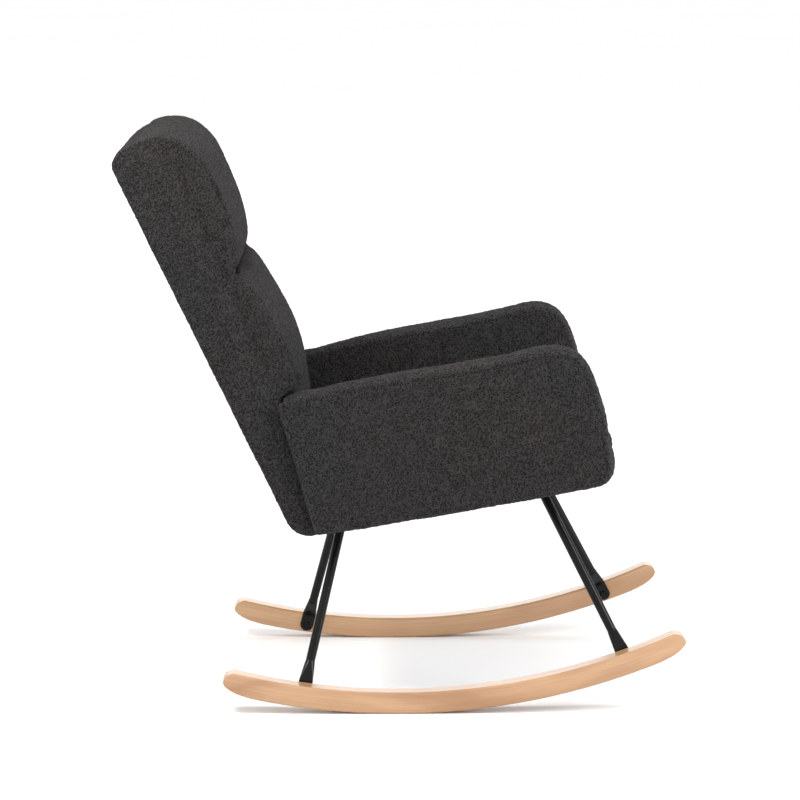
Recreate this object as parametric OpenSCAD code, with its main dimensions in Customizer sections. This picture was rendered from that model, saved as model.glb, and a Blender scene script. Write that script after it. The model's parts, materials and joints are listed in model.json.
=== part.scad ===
// Upholstered rocking chair: two bent wooden rockers, four steel tube legs, a webbed seat frame
// between two padded arms, and a reclined back with a head cushion.
// X runs across the chair (+X is the sitter's left), the front faces -Y, and Z is up.
// The chair stands as it rests when empty, with the rockers touching the floor at Z = 0.

/* [Rockers] */
// Radius of the rockers' lower edge
rocker_radius = 1184; // [1000:10:1500]
// Height of a rocker, measured across the grain
rocker_height = 37; // [32:1:48]
// Width of a rocker
rocker_width = 37; // [30:1:48]
// Distance between the rockers, centre to centre
rocker_spacing = 600; // [560:5:720]
// Angle of arc in front of the floor contact
front_reach = 24.9; // [20:0.2:30]
// Angle of arc behind the floor contact
rear_reach = 14.8; // [12:0.2:20]
// Chamfer along the rockers' long edges
rocker_chamfer = 3; // [1:0.5:6]
// Length of the long curve under each tip
tip_under = 66; // [40:1:90]
// Length of the short curve over each tip
tip_over = 17; // [8:1:30]

/* [Legs] */
// Outer diameter of the leg tube
leg_dia = 16; // [14:0.5:22]
// Wall of the leg tube
leg_wall = 1.5; // [1:0.1:3]
// Angle along the rocker of the front leg bolts
front_bolt_angle = 19.7; // [16:0.1:21]
// Angle along the rocker of the rear leg bolts
rear_bolt_angle = 8; // [5:0.1:10]
// Height of a leg bolt above the rocker's lower edge
bolt_height = 15; // [13:0.5:20]
// Slope of the rear legs forwards, per unit of height
rear_leg_slope = 0.247; // [0.15:0.01:0.4]
// Slope of the front legs backwards, per unit of height
front_leg_slope = 0.516; // [0.3:0.01:0.6]
// Slope of every leg inwards, per unit of height
leg_cant = 0.47; // [0.3:0.01:0.5]
// Width of the flattened lug
lug_width = 24; // [20:1:30]
// Thickness of the flattened lug
lug_thick = 3; // [2.4:0.2:5]
// Length along the leg over which the tube is flattened
lug_taper = 58; // [40:1:70]
// Side of the mounting plates, across the chair
plate_w = 64; // [56:1:76]
// Side of the mounting plates, front to back
plate_l = 84; // [72:1:96]
// Thickness of the mounting plates
plate_thick = 3; // [2:0.5:5]
// Distance of the plate bolts from the plate's edges
plate_bolt_inset = 10; // [8:1:14]
// How far the rear plates reach forwards of their leg heads' centres
rear_plate_shift = 24; // [18:1:28]

/* [Seat] */
// Height of the seat's underside above the floor contact
seat_height = 328; // [300:2:360]
// Angle by which the seat rises to the front
seat_rake = 10.8; // [6:0.2:14]
// Front of the seat cover, measured along the seat
seat_front = 384; // [360:2:410]
// Rear end of the seat frame, measured along the seat
seat_rear = -130; // [-140:1:-120]
// Height of the seat cover above its underside
seat_thick = 96; // [84:1:120]
// Thickness of the seat rails
rail_thick = 25; // [20:1:30]
// Width of the seat rails
rail_width = 60; // [50:1:70]
// Thickness of the bearers that carry the leg plates
bearer_thick = 16; // [14:1:20]
// Width of the bearers
bearer_width = 92; // [84:1:110]
// Depth of the padding in front of the seat frame
front_padding = 26; // [22:1:32]
// Width of a webbing strap
strap_width = 50; // [40:1:60]
// Thickness of a webbing strap
strap_thick = 1.6; // [1:0.2:3]

/* [Arms] */
// Half the width between the arms at their rear ends
arm_inner_rear = 232; // [226:1:250]
// Angle by which the arms open to the front
arm_splay = 4.2; // [2:0.2:6]
// Thickness of an arm at its rear end
arm_rear_thick = 60; // [54:1:75]
// Thickness of an arm at its front end
arm_front_thick = 75; // [65:1:90]
// Outward bulge of an arm between its ends
arm_bulge = 30; // [10:1:40]
// Thickness of the plywood arm panels
arm_panel_thick = 15; // [12:1:20]
// Distance from an arm's inner face to its panel
arm_panel_inset = 20; // [16:1:24]
// Height of the arms' front ends above the seat's underside
arm_front_high = 303; // [290:1:320]
// Distance from the seat cushion's front back to the arms' highest point
arm_crest_back = 135; // [120:1:150]

/* [Back] */
// Angle of the back from upright
back_lean = 25.8; // [20:0.2:30]
// How far the back reaches sideways over each arm
back_overlap = 33; // [24:1:42]
// Length of the back from its lower end to its top
back_length = 718; // [660:2:760]
// Thickness of the rear shell at the top
shell_thick = 95; // [85:1:105]
// Radius of the shell's upper rear edge
shell_round = 34; // [20:1:45]
// Distance from the seat frame's rear end back to the arms' rear edges
arm_overhang = 8; // [5:1:12]
// Length along the back at which the shell reaches its full thickness
shell_taper = 214; // [190:2:240]
// Length along the back of the seam between the two cushions
head_seam = 448; // [420:2:480]
// How far the head cushion stands out from the shell
head_pad = 46; // [30:1:60]
// How far the lower cushion stands out from the shell
lower_pad = 36; // [25:1:50]
// Distance from the shell's rear face to the back frame
frame_depth = 20; // [14:1:26]
// Width of the back stiles
stile_width = 45; // [35:1:60]
// Thickness of the back frame
stile_depth = 25; // [20:1:28]

/* [Upholstery] */
// Thickness of the cover fabric
cover = 3; // [2:0.5:5]
// Gap between separate upholstered pieces
soft_gap = 1; // [0.5:0.5:2]
// Thickness of the dust cover under the seat
dust_thick = 1; // [0.6:0.2:2]

/* [Fasteners] */
// Shank diameter of the bolts
bolt_dia = 6; // [5:0.5:8]
// Head diameter of the bolts
head_dia = 12; // [10:0.5:14]
// Head height of the bolts
head_high = 4; // [3:0.5:5]
// Outer diameter of the insert nuts
insert_dia = 10; // [9:0.5:12]
// Length of the insert nuts
insert_len = 15; // [12:1:18]
// Radial clearance of a bolt in its hole
bolt_gap = 0.3; // [0.1:0.1:0.6]
// Gap between wooden pieces that are let into each other
wood_gap = 0.2; // [0.1:0.1:0.5]
// Gap between the seat rails and the arm panels
panel_gap = 0.6; // [0.2:0.1:1]

/* [Hidden] */
$fn = 64;

beech = [0.86, 0.68, 0.5];
black = [0.08, 0.08, 0.09];
zinc = [0.75, 0.76, 0.78];
pine = [0.82, 0.7, 0.5];
ply = [0.76, 0.6, 0.42];
strap = [0.2, 0.2, 0.22];
foam = [0.93, 0.88, 0.7];
teddy = [0.22, 0.22, 0.23];

cut = 1;
far = 2000;
inner_radius = rocker_radius - rocker_height;
mid_radius = rocker_radius - rocker_height / 2;
rocker_inner = (rocker_spacing - rocker_width) / 2;
bolt_radius = rocker_radius - bolt_height;
bore_dia = bolt_dia + 2 * bolt_gap;

// Lower end of the back: the rear lower corner of the shell.
back_foot = [seat_rear * cos(seat_rake) - 50, seat_height - 28];
// Rearmost point of the back and foremost point of the rockers.
back_rear = back_foot[0] - (back_length - shell_round) * sin(back_lean) - shell_round * (1 - cos(back_lean));
front_tip = mid_radius * sin(front_reach);
// Middle of the chair from front to back, which becomes Y = 0.
middle = (front_tip + back_rear) / 2;

// Seat heights are measured out of the seat's underside, and lengths along it.
rail_base = 3;
rail_top = rail_base + rail_thick;
web_top = rail_top + 2 * strap_thick;
frame_front = seat_front - front_padding;
rail_inner_front = frame_front - rail_width;
rail_inner_rear = seat_rear + rail_width;
plate_bottom = rail_base - plate_thick;
bearer_setback = 18;
bearer_rear = seat_rear + bearer_setback;
bearer_front = frame_front - bearer_setback;
insert_play = 3;
// A leg's neck runs from a ring round the tube to a foot let just inside the faces of its lug.
lug_reach = 20;
neck_lap = 2;
neck_ring = 3;
neck_foot = 6;
neck_step = 0.1;
neck_swell = 1;
fit_gap = 0.4;
foam_gap = 0.3;
cushion_rear = 10;
seat_clear = soft_gap + 1.3;
arm_rear = seat_rear * cos(seat_rake) - 24;
panel_inner = arm_panel_inset;
panel_edge = 24;

// Back lengths are measured up its rear face, and depths forwards through it.
back_width = 2 * (arm_inner_rear + back_overlap);
pad_half = back_width / 2 - 2;
frame_front_face = frame_depth + stile_depth;
frame_top = back_length - 26;
cross_rail = 60;
core_half = arm_inner_rear - 6;
core_top = 118;
stile_outer = core_half - cover - 2;
stile_inner = stile_outer - stile_width;
stile_foot = 20;
rail_gap = cover + 0.8;
foot_rail_deep = 32;
foot_rail_top = 70;
back_strap_foot = 150;
back_straps = 5;
shell_knee = 0.88 * shell_thick;
arm_step = shell_taper + 12;

sides = [-1, 1];

// Half the seat's clear width at a distance u along the seat.
function inner_half(u) = arm_inner_rear + (u * cos(seat_rake) - arm_rear) * tan(arm_splay);
// A point on a cubic curve, and the whole curve in n steps.
function cubic(a, b, c, d, t) =
    pow(1 - t, 3) * a + 3 * pow(1 - t, 2) * t * b + 3 * (1 - t) * t * t * c + t * t * t * d;
function curve(a, b, c, d, n = 12) = [for (i = [0:n]) cubic(a, b, c, d, i / n)];
// A quarter turn of an ellipse about c, from its first semi-axis to its second.
function bend(c, p, q, n = 6) = [for (i = [0:n]) c + p * cos(90 * i / n) + q * sin(90 * i / n)];
function on_rocker(radius, angle) = [radius * sin(angle), rocker_radius - radius * cos(angle)];
// A point of the seat: u forwards along it and w out of it.
function seat_point(u, w) =
    [u * cos(seat_rake) - w * sin(seat_rake), seat_height + u * sin(seat_rake) + w * cos(seat_rake)];
// A point of the back: t forwards through it and s up it.
function back_point(t, s) =
    back_foot + [t * cos(back_lean) - s * sin(back_lean), t * sin(back_lean) + s * cos(back_lean)];
// A point of the seat in the back's own axes.
function seat_in_back(u, w) = let(d = seat_point(u, w) - back_foot)
    [d[0] * cos(back_lean) + d[1] * sin(back_lean), d[1] * cos(back_lean) - d[0] * sin(back_lean)];
// Depth of the shell's front face, which slopes between the taper and the top.
function shell_front(s) =
    shell_knee + (s - shell_taper) * (shell_thick - shell_knee) / (frame_top - shell_taper);

module in_place() translate([0, middle, 0]) children();
module on_side(side) mirror([side < 0 ? 1 : 0, 0, 0]) children();
// An outline drawn with x forwards and y up, stood in the chair's side plane.
module side_slab(x, w) translate([x, 0, 0]) rotate([90, 0, -90]) linear_extrude(w, center = true) children();
module in_seat() translate([0, 0, seat_height]) rotate([-seat_rake, 0, 0]) children();
module in_back() translate([0, -back_foot[0], back_foot[1]]) rotate([-back_lean, 0, 0]) children();
module in_arm() translate([arm_inner_rear, -arm_rear, 0]) rotate([0, 0, arm_splay]) children();
// A slab of the seat between two heights; its outline has x across and y backwards.
module seat_slab(w0, w1) in_seat() translate([0, 0, w0]) linear_extrude(w1 - w0) children();
// An outline between the arms from u0 to u1, with a gap at each side.
module seat_outline(u0, u1, gap)
    polygon([
        [-inner_half(u0) + gap, -u0], [inner_half(u0) - gap, -u0],
        [inner_half(u1) - gap, -u1], [-inner_half(u1) + gap, -u1]
    ]);
module along(v) rotate([0, acos(v[2] / norm(v)), atan2(v[1], v[0])]) children();

// ---- Rockers ----
// Outline of one tip: a long curve under it and a short one over it.
function tip_points(reach, sign) = let(half = rocker_height / 2) concat(
    [on_rocker(rocker_radius + 8, sign * (reach - (tip_under + 30) / rocker_radius * 180 / PI))],
    [for (i = [-8:8]) let(
        a = i * 10,
        run = (a < 0 ? tip_under : tip_over) * (1 - cos(a)),
        r = mid_radius - half * sin(a)
    ) on_rocker(r, sign * (reach - run / rocker_radius * 180 / PI))],
    [on_rocker(inner_radius - 6, sign * (reach - (tip_over + 14) / rocker_radius * 180 / PI))]
);
module rocker_section() {
    c = rocker_chamfer;
    w = rocker_width / 2;
    polygon([
        [inner_radius + c, -w], [rocker_radius - c, -w], [rocker_radius, -w + c], [rocker_radius, w - c],
        [rocker_radius - c, w], [inner_radius + c, w], [inner_radius, w - c], [inner_radius, -w + c]
    ]);
}
module rocker(side) color(beech) in_place() difference() {
    intersection() {
        translate([side * rocker_spacing / 2, 0, rocker_radius])
            rotate([90, 0, -90])
            rotate([0, 0, -90 - rear_reach - 1])
            rotate_extrude(angle = front_reach + rear_reach + 2, $fn = 256) rocker_section();
        side_slab(side * rocker_spacing / 2, rocker_width + 20)
            polygon(concat(
                tip_points(front_reach, 1),
                [for (i = [18:-1:0]) tip_points(rear_reach, -1)[i]],
                [[0, -120]]
            ));
    }
    for (angle = [front_bolt_angle, -rear_bolt_angle])
        at_bolt(angle, side) translate([0, 0, -cut])
            cylinder(d = insert_dia, h = insert_len + insert_play + cut);
}
// The inner face of a rocker at a leg bolt, with Z into the wood.
module at_bolt(angle, side) {
    p = on_rocker(bolt_radius, angle);
    translate([side * rocker_inner, -p[0], p[1]]) rotate([0, side * 90, 0]) children();
}

// ---- Legs ----
// Direction of a leg going up, on the sitter's left side.
function leg_run(front) = [-leg_cant, front ? front_leg_slope : -rear_leg_slope, 1];
function leg_foot(front) = let(p = on_rocker(bolt_radius, front ? front_bolt_angle : -rear_bolt_angle))
    [rocker_inner - lug_thick / 2, -p[0], p[1]];
// Distance up the leg at which its axis meets the underside of the mounting plate.
function leg_rise(front) = let(b = leg_foot(front), d = leg_run(front))
    (seat_height + plate_bottom / cos(seat_rake) - b[1] * tan(seat_rake) - b[2])
        / (d[2] + d[1] * tan(seat_rake));
function leg_head(front) = leg_foot(front) + leg_rise(front) * leg_run(front);
// The leg head's place on the seat, as distance across and distance along.
function plate_centre(front) = let(h = leg_head(front)) [
    h[0],
    (h[2] - seat_height) * sin(seat_rake) - h[1] * cos(seat_rake) + (front ? 0 : rear_plate_shift)
];
// The lug lies flat on the rocker and points up the leg.
module in_lug(front) {
    d = leg_run(front);
    translate(leg_foot(front)) rotate([atan2(-d[1], d[2]), 0, 0]) rotate([0, 90, 0]) children();
}
module leg_tube(front) difference() {
    d = leg_run(front);
    long = leg_rise(front) * norm(d) - lug_taper + neck_lap + leg_dia;
    translate(leg_foot(front) + (lug_taper - neck_lap) / norm(d) * d) along(d) difference() {
        cylinder(d = leg_dia, h = long);
        translate([0, 0, -cut]) cylinder(d = leg_dia - 2 * leg_wall, h = long + 2 * cut);
    }
    in_seat() translate([-far, -far, plate_bottom]) cube([2 * far, 2 * far, far]);
}
module leg_lug(front) difference() {
    d = leg_run(front);
    union() {
        hull() {
            translate(leg_foot(front) + (lug_taper - neck_ring) / norm(d) * d)
                along(d) cylinder(d = leg_dia + neck_swell, h = neck_ring, $fn = 32);
            in_lug(front)
                translate([
                    neck_lap - lug_reach - neck_foot, neck_step - lug_width / 2, neck_step - lug_thick / 2
                ])
                cube([neck_foot, lug_width - 2 * neck_step, lug_thick - 2 * neck_step]);
        }
        in_lug(front) {
            translate([-lug_reach, -lug_width / 2, -lug_thick / 2])
                cube([lug_reach, lug_width, lug_thick]);
            cylinder(d = lug_width, h = lug_thick, center = true);
        }
    }
    in_lug(front) cylinder(d = bore_dia, h = 4 * lug_thick, center = true);
}
module leg(side, front) color(black) in_place() on_side(side) {
    leg_tube(front);
    leg_lug(front);
}
module plate_bolt_spots(front) {
    c = plate_centre(front);
    dx = plate_w / 2 - plate_bolt_inset;
    dy = plate_l / 2 - plate_bolt_inset;
    in_seat() for (sx = sides, sy = sides)
        translate([c[0] + sx * dx, -c[1] + sy * dy, plate_bottom]) children();
}
module leg_plate(side, front) color(black) in_place() on_side(side) difference() {
    c = plate_centre(front);
    in_seat() translate([c[0] - plate_w / 2, -c[1] - plate_l / 2, plate_bottom])
        cube([plate_w, plate_l, plate_thick]);
    plate_bolt_spots(front) translate([0, 0, -cut]) cylinder(d = bore_dia, h = plate_thick + 2 * cut);
}

// ---- Fasteners ----
// A button-head bolt whose head seats at Z = 0 and whose shank points up.
module bolt(length) difference() {
    union() {
        cylinder(d = bolt_dia, h = length);
        translate([0, 0, -head_high]) cylinder(d1 = head_dia * 0.72, d2 = head_dia, h = head_high);
    }
    translate([0, 0, -head_high - cut]) cylinder(d = 4.6, h = cut + 2.4, $fn = 6);
}
module insert_nut(length) difference() {
    cylinder(d = insert_dia - 0.2, h = length);
    translate([0, 0, -cut]) cylinder(d = bolt_dia + 0.1, h = length + 2 * cut);
}
module each_rocker_bolt() for (side = sides, angle = [front_bolt_angle, -rear_bolt_angle])
    at_bolt(angle, side) children();
module rocker_bolts() color(black) in_place() each_rocker_bolt()
    translate([0, 0, -lug_thick]) bolt(insert_len + lug_thick);
module rocker_inserts() color(zinc) in_place() each_rocker_bolt()
    translate([0, 0, 0.5]) insert_nut(insert_len);
module each_plate_bolt() for (side = sides, front = [true, false])
    on_side(side) plate_bolt_spots(front) children();
module plate_bolts() color(black) in_place() each_plate_bolt()
    bolt(bearer_thick + plate_thick - insert_play);
module plate_inserts() color(zinc) in_place() each_plate_bolt()
    translate([0, 0, plate_thick + 0.5]) insert_nut(bearer_thick - insert_play);

// ---- Seat frame ----
module seat_front_rail() color(pine) in_place() difference() {
    seat_slab(rail_base, rail_top) seat_outline(rail_inner_front, frame_front, -panel_inner + panel_gap);
    bearer_housing();
}
module seat_rear_rail() color(pine) in_place() difference() {
    seat_slab(rail_base, rail_top) seat_outline(seat_rear, rail_inner_rear, -panel_inner + panel_gap);
    bearer_housing();
    back_bolt_spots() translate([0, 0, -cut]) cylinder(d = bore_dia, h = rail_width + 2 * cut);
}
module seat_side_rail(side) color(pine) in_place() on_side(side) difference() {
    seat_slab(rail_base, rail_top) {
        u0 = rail_inner_rear + wood_gap;
        u1 = rail_inner_front - wood_gap;
        over = panel_inner - panel_gap;
        polygon([
            [inner_half(u0) + over - rail_width, -u0], [inner_half(u0) + over, -u0],
            [inner_half(u1) + over, -u1], [inner_half(u1) + over - rail_width, -u1]
        ]);
    }
    arm_bolt_spots() translate([0, 0, -rail_width - 10]) cylinder(d = bore_dia, h = rail_width + 30);
}
// Bearers are let into the undersides of the front and rear rails.
bearer_x = plate_centre(false)[0];
module bearer_block(x, gap)
    translate([x - bearer_width / 2 - gap, -bearer_front - gap, rail_base - cut * gap])
    cube([bearer_width + 2 * gap, bearer_front - bearer_rear + 2 * gap, bearer_thick + gap + cut * gap]);
module bearer_housing() in_seat() for (side = sides) bearer_block(side * bearer_x, wood_gap);
module leg_bearer(side) color(ply) in_place() on_side(side) difference() {
    in_seat() bearer_block(bearer_x, 0);
    for (front = [true, false]) plate_bolt_spots(front)
        translate([0, 0, plate_thick]) cylinder(d = insert_dia, h = bearer_thick - 2);
}
// Straps: five across the seat, four along it, woven over the rails.
module seat_webbing_cross() color(strap) in_place() for (i = [0:4]) {
    edge = strap_width / 2 + 9;
    u = rail_inner_rear + edge + i * (rail_inner_front - rail_inner_rear - 2 * edge) / 4;
    seat_slab(rail_top, rail_top + strap_thick)
        seat_outline(u - strap_width / 2, u + strap_width / 2, 4);
}
module seat_webbing_long() color(strap) in_place() for (i = [-1.5:1.5])
    in_seat() translate([i * 92 - strap_width / 2, -frame_front + 6, rail_top + strap_thick])
        cube([strap_width, frame_front - seat_rear - 12, strap_thick]);

// ---- Seat upholstery ----
// Side outline of the seat cushion: u forwards and w up, rounded over the front.
module cushion_side(grow) {
    front = seat_front - cover + grow;
    top = seat_thick - cover + grow;
    low = web_top + fit_gap + cover - grow;
    under = min(22, 0.36 * (top - low));
    over = min(36, 0.6 * (top - low));
    polygon(concat(
        [[seat_rear + cushion_rear - grow, low]],
        bend([front - under, low + under], [0, -under], [under, 0]),
        bend([front - over - 6, top - over], [over + 6, 0], [0, over]),
        [[seat_rear + cushion_rear - grow, top - 8]]
    ));
}
module cushion_body(grow, gap) intersection() {
    in_seat() side_slab(0, 2 * far) cushion_side(grow);
    seat_slab(-20, seat_thick + 20) seat_outline(seat_rear - 10, seat_front + 10, gap);
}
module seat_foam() color(foam) in_place() cushion_body(0, cover + seat_clear + foam_gap);
module seat_cover() color(teddy) in_place() difference() {
    cushion_body(cover, seat_clear);
    cushion_body(foam_gap, cover + seat_clear);
}
// The padded border covers the front rail, under the cushion's front.
module seat_border() color(teddy) in_place() intersection() {
    in_seat() side_slab(0, 2 * far) polygon(concat(
        [[frame_front + 0.5, web_top]],
        [[frame_front + 0.5, 0]],
        bend([seat_front - 18, 14], [0, -14], [12, 0]),
        [[seat_front - 6, web_top]]
    ));
    seat_slab(-20, seat_thick + 20) seat_outline(seat_rear - 10, seat_front + 10, seat_clear);
}
module dust_cover() color(black) in_place() difference() {
    seat_slab(rail_base - dust_thick - 0.2, rail_base - 0.2)
        seat_outline(seat_rear + 6, frame_front - 6, 3);
    for (side = sides, front = [true, false]) on_side(side) {
        c = plate_centre(front);
        in_seat() translate([c[0] - plate_w / 2 - 1, -c[1] - plate_l / 2 - 1, -10])
            cube([plate_w + 2, plate_l + 2, 30]);
    }
}
module dust_cover_staples() color(zinc) in_place() in_seat()
    for (i = [-5:5], u = [seat_rear + 10, frame_front - 14])
        translate([i * 40 - 5, -u - 0.5, rail_base - dust_thick - 0.9]) cube([10, 1, 0.7]);

// ---- Arms ----
// Side outline of an arm, inset on every edge; x is forwards and y is up.
// Its rear end meets the shell's front face, and its front end follows the seat's.
function arm_profile(inset) = let(
    i = inset,
    low_rear = seat_point(seat_rear - arm_overhang, 0),
    low_front = seat_point(seat_front - 36, 0) + [-8, 34],
    rear = back_point(shell_knee + 1.8 * soft_gap, shell_taper + 2.4),
    front = seat_front * cos(seat_rake),
    crest = [front - arm_crest_back, seat_height + arm_front_high],
    brow = [front - 27, crest[1] - 109]
) concat(
    curve(rear + [i, -i], rear + [131, 55 - i], crest - [152, 41 + i], crest - [0, i], 14),
    curve(crest - [0, i], crest + [70 - i, 10 - i], brow + [-24 - i, 84 - i], brow - [i, 0], 10),
    [[front - 18 - i, brow[1] - 67]],
    bend(low_front, [32 - i, 0], [6, -34 + i], 6),
    [low_rear + [i, i]]
);
// Plan of an arm: x outwards from the inner face and y backwards.
function arm_plan(inset) = concat(
    [[inset, 60], [inset, -560]],
    [[arm_front_thick - inset, -560]],
    curve(
        [arm_front_thick - inset, -525], [arm_front_thick + arm_bulge - inset, -330],
        [arm_rear_thick + arm_bulge - inset, -110], [arm_rear_thick - inset, 20], 16
    ),
    [[arm_rear_thick - inset, 60]]
);
module arm_body(inset) intersection() {
    side_slab(arm_inner_rear + 60, 400) polygon(arm_profile(inset));
    in_arm() translate([0, 0, 100]) linear_extrude(700) polygon(arm_plan(inset));
}
// Room at the arm's inner lower edge for the seat frame.
module rail_recess() seat_slab(-30, rail_top + 1)
    seat_outline(seat_rear - 1, frame_front + 1, -panel_inner - 0.1);
module panel_body(gap) intersection() {
    side_slab(arm_inner_rear + 60, 400) polygon(arm_profile(panel_edge - gap));
    in_arm() translate([panel_inner - gap, -700, 0]) cube([arm_panel_thick + 2 * gap, 800, 800]);
}
module arm_panel(side) color(ply) in_place() on_side(side) difference() {
    panel_body(0);
    arm_bolt_spots() translate([0, 0, -cut]) cylinder(d = insert_dia, h = arm_panel_thick + 2 * cut);
}
module arm_foam(side) color(foam) in_place() on_side(side) difference() {
    arm_body(cover + foam_gap);
    panel_body(foam_gap);
    rail_recess();
    arm_bolt_spots() cylinder(d = 26, h = arm_panel_thick + 6);
}
module arm_cover(side) color(teddy) in_place() on_side(side) difference() {
    arm_body(0);
    arm_body(cover);
    rail_recess();
}
// Bolt line of an arm: on its panel's inner face, with Z outwards.
module arm_bolt_spots() for (u = [rail_inner_rear + 50, 100, rail_inner_front - 50]) {
    p = seat_point(u, rail_base + rail_thick / 2);
    translate([inner_half(u) + panel_inner, -p[0], p[1]]) rotate([0, 90, arm_splay]) children();
}
module arm_bolts() color(zinc) in_place() for (side = sides) on_side(side) arm_bolt_spots()
    translate([0, 0, -rail_width - 1]) bolt(rail_width + arm_panel_thick);
module arm_tee_nuts() color(zinc) in_place() for (side = sides) on_side(side) arm_bolt_spots() difference() {
    union() {
        translate([0, 0, 2]) cylinder(d = insert_dia - 0.2, h = arm_panel_thick - 2 + 0.2);
        translate([0, 0, arm_panel_thick + 0.2]) cylinder(d = 20, h = 1.5);
    }
    translate([0, 0, -cut]) cylinder(d = bolt_dia + 0.1, h = arm_panel_thick + 10);
}

// ---- Back frame ----
module back_block(x0, x1, t0, t1, s0, s1)
    in_back() translate([x0, -t1, s0]) cube([x1 - x0, t1 - t0, s1 - s0]);
module back_stile(side) color(pine) in_place() on_side(side) difference() {
    back_block(stile_inner, stile_outer, frame_depth, frame_front_face, stile_foot, frame_top);
    in_seat() translate([-far, -far, -far]) cube([2 * far, 2 * far, far + foot_rail_top]);
}
module back_cross_rail(s) color(pine) in_place()
    back_block(-stile_inner, stile_inner, frame_depth, frame_front_face, s, s + cross_rail);
// The bottom rail is square to the seat, so that it bolts flat to the seat's rear rail.
module back_bottom_rail() color(pine) in_place() difference() {
    in_seat() translate([-stile_outer, rail_gap - seat_rear, rail_base + 2])
        cube([2 * stile_outer, foot_rail_deep, foot_rail_top - rail_base - 2]);
    back_bolt_spots() translate([0, 0, rail_width])
        cylinder(d = insert_dia, h = insert_len + rail_gap + insert_play);
}
// Back bolts run backwards along the seat, from the inner edge of its rear rail.
module back_bolt_spots() in_seat() for (x = [-85, -30, 30, 85])
    translate([x, -rail_inner_rear, rail_base + rail_thick / 2]) rotate([-90, 0, 0]) children();
module back_bolts() color(zinc) in_place() back_bolt_spots() bolt(rail_width + rail_gap + insert_len);
module back_inserts() color(zinc) in_place() back_bolt_spots()
    translate([0, 0, rail_width + rail_gap + 0.5]) insert_nut(insert_len);
module back_webbing() color(strap) in_place() for (i = [0:back_straps - 1]) {
    last = frame_top - strap_width - 4;
    s = back_strap_foot + i * (last - back_strap_foot) / (back_straps - 1);
    face = frame_front_face + wood_gap;
    back_block(-stile_outer, stile_outer, face, face + strap_thick, s, s + strap_width);
}

// ---- Back upholstery ----
// Side outline of the rear shell; its lower end follows the seat's underside.
function shell_profile(inset) = let(
    i = inset,
    top = back_length,
    foot_front = seat_in_back(seat_rear - arm_overhang - soft_gap, 0),
    foot_rear = seat_in_back(seat_rear - arm_overhang - 28, 0)
) concat(
    [[i, 8], [i, top - shell_round]],
    bend([shell_round, top - shell_round], [i - shell_round, 0], [0, shell_round - i]),
    [[shell_thick - 22, top - i], [shell_thick - i, top - 12]],
    [[shell_knee - i, shell_taper], foot_front + [-i, i], foot_rear + [0, i]]
);
// Between the arms, the shell is thicker at its foot and holds the bottom rail.
function core_profile(inset) = let(
    front = seat_rear - fit_gap - inset,
    shoulder = seat_in_back(front, foot_rail_top + 10)
) [
    seat_in_back(seat_rear - foot_rail_deep, inset), seat_in_back(front, inset), shoulder,
    [shoulder[0], core_top - inset], [frame_depth, core_top - inset]
];
module shell_body(inset) {
    in_back() side_slab(0, back_width - 2 * inset) polygon(shell_profile(inset));
    in_back() side_slab(0, 2 * (core_half - inset)) polygon(core_profile(inset));
}
module back_shell() color(teddy) in_place() difference() {
    shell_body(0);
    shell_body(cover);
    back_bolt_spots() cylinder(d = bore_dia, h = rail_width + 20);
}
// Side outlines of the two cushions, which lie on the front of the shell.
module head_side(inset) {
    i = inset;
    s0 = head_seam + soft_gap;
    s1 = back_length - 10;
    out = shell_thick + head_pad;
    low = bend([out - 34, s0 + 88], [0, i - 88], [34 - i, 0], 8);
    high = bend([out - head_pad + 7, s1 - 64], [head_pad - 7 - i, 0], [0, 64 - i], 8);
    polygon(concat(
        [[shell_front(s1) + soft_gap + i, s1 - i], [shell_front(s0) + soft_gap + i, s0 + i]], low, high
    ));
}
module lower_side(inset) {
    i = inset;
    s0 = 120;
    s1 = head_seam - soft_gap;
    out = shell_front(s1) + lower_pad;
    polygon(concat(
        [[shell_front(s1) + soft_gap + i, s1 - i], [shell_knee + soft_gap + i, shell_taper]],
        [[shell_knee - 18 + i, s0 + i]],
        bend([out - 44, s0 + 70], [12, -50 + i], [38 - i, 0]),
        bend([out - 24, s1 - 44], [24 - i, 0], [0, 44 - i])
    ));
}
module head_body(inset) in_back() side_slab(0, 2 * (pad_half - inset)) head_side(inset);
// Below the arms' tops, the lower cushion is narrower and sits between the arms.
module lower_body(inset) in_back() difference() {
    side_slab(0, 2 * (pad_half - inset)) lower_side(inset);
    for (side = sides) translate([side * (core_half - inset + 50), -60, 0])
        cube([100, 200, 2 * (arm_step + inset)], center = true);
}
module head_foam() color(foam) in_place() head_body(cover + foam_gap);
module head_cushion() color(teddy) in_place() difference() {
    head_body(0);
    head_body(cover);
}
module back_foam() color(foam) in_place() lower_body(cover + foam_gap);
module back_cushion() color(teddy) in_place() difference() {
    lower_body(0);
    lower_body(cover);
}

rocker(1);  // rocker_left
rocker(-1);  // rocker_right
leg(1, true);  // leg_front_left
leg(-1, true);  // leg_front_right
leg(1, false);  // leg_rear_left
leg(-1, false);  // leg_rear_right
leg_plate(1, true);  // leg_plate_front_left
leg_plate(-1, true);  // leg_plate_front_right
leg_plate(1, false);  // leg_plate_rear_left
leg_plate(-1, false);  // leg_plate_rear_right
rocker_bolts();
rocker_inserts();
plate_bolts();
plate_inserts();
seat_front_rail();
seat_rear_rail();
seat_side_rail(1);  // seat_side_rail_left
seat_side_rail(-1);  // seat_side_rail_right
leg_bearer(1);  // leg_bearer_left
leg_bearer(-1);  // leg_bearer_right
seat_webbing_cross();
seat_webbing_long();
seat_foam();
seat_cover();
seat_border();
dust_cover();
dust_cover_staples();
arm_panel(1);  // arm_panel_left
arm_panel(-1);  // arm_panel_right
arm_foam(1);  // arm_foam_left
arm_foam(-1);  // arm_foam_right
arm_cover(1);  // arm_cover_left
arm_cover(-1);  // arm_cover_right
arm_bolts();
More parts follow.
